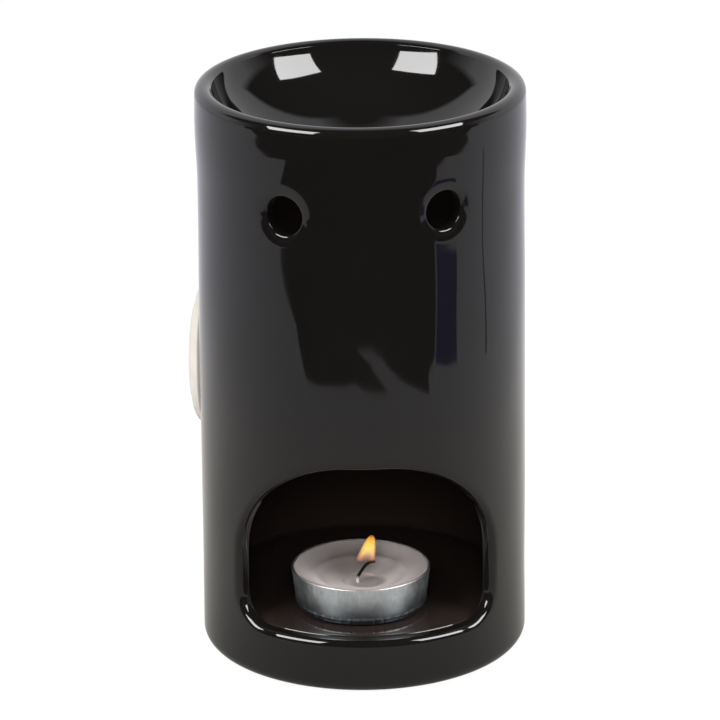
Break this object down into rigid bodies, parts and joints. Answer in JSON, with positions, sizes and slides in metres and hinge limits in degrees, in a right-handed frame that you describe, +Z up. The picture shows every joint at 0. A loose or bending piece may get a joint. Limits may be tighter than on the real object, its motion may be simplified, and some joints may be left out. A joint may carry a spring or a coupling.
{
  "type": "oil burner",
  "caption": "Glazed ceramic cylinder oil burner with an oil dish on top, a candle window in front, round vents and a tealight that slides out.",
  "frame": {"origin": "centre of the foot ring, on the surface that the burner stands on", "axes": "+Z up along the cylinder's axis, the candle window faces -Y, +X to the right as seen from the front"},
  "size_m": [0.091, 0.088, 0.157],
  "materials": {
    "black_glaze": "glossy black glaze over cast earthenware",
    "cream_glaze": "satin cream glaze",
    "cup_aluminium": "drawn thin sheet, lightly scuffed",
    "candle_wax": "translucent white paraffin with melt rings",
    "charred_wick": "charred braided cotton",
    "tab_steel": "tin plate"
  },
  "bodies": {
    "burner": {"body_wall": "black_glaze", "oil_dish": "black_glaze", "chamber_floor": "black_glaze", "medallion": "cream_glaze"},
    "tealight": {"tealight_cup": "cup_aluminium"},
    "candle": {"wax": "candle_wax", "wick": "charred_wick", "wick_tab": "tab_steel"}
  },
  "joints": [
    {"name": "tealight_slide", "type": "slide", "parent": "burner", "child": "tealight", "axis": [0, -1, 0], "range_m": [-0.034, 0.09]},
    {"name": "candle_lift", "type": "slide", "parent": "tealight", "child": "candle", "axis": [0, 0, 1], "range_m": [0, 0.014]}
  ]
}
